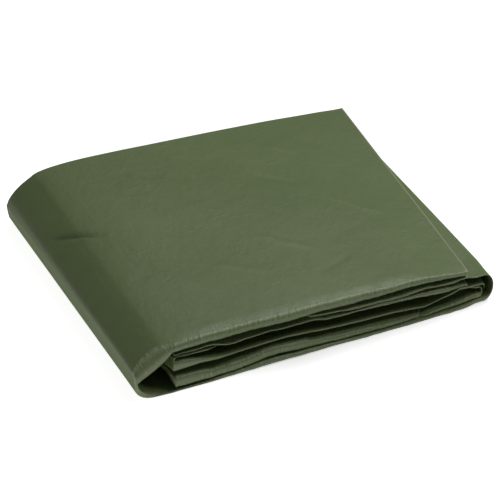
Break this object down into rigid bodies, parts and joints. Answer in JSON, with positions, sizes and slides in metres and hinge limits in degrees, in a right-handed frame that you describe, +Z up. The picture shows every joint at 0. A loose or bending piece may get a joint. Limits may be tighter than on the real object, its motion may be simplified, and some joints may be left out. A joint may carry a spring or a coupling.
{
  "type": "folded tarp",
  "caption": "Smooth dark green tarp folded lengthwise into a strip and doubled over into a flat packet, with its rolled fold edges along one side.",
  "frame": {"origin": "centre of the packet's bounding box at the surface it lies on", "axes": "+X runs along the front fold edges from the rounded spine to the free end, +Y away from the front fold edges, +Z up"},
  "size_m": [0.3, 0.256, 0.0461],
  "materials": {
    "coated_sheet": "satin coated weave, dark olive green"
  },
  "bodies": {
    "root": {"tarp": "coated_sheet"}
  },
  "joints": []
}
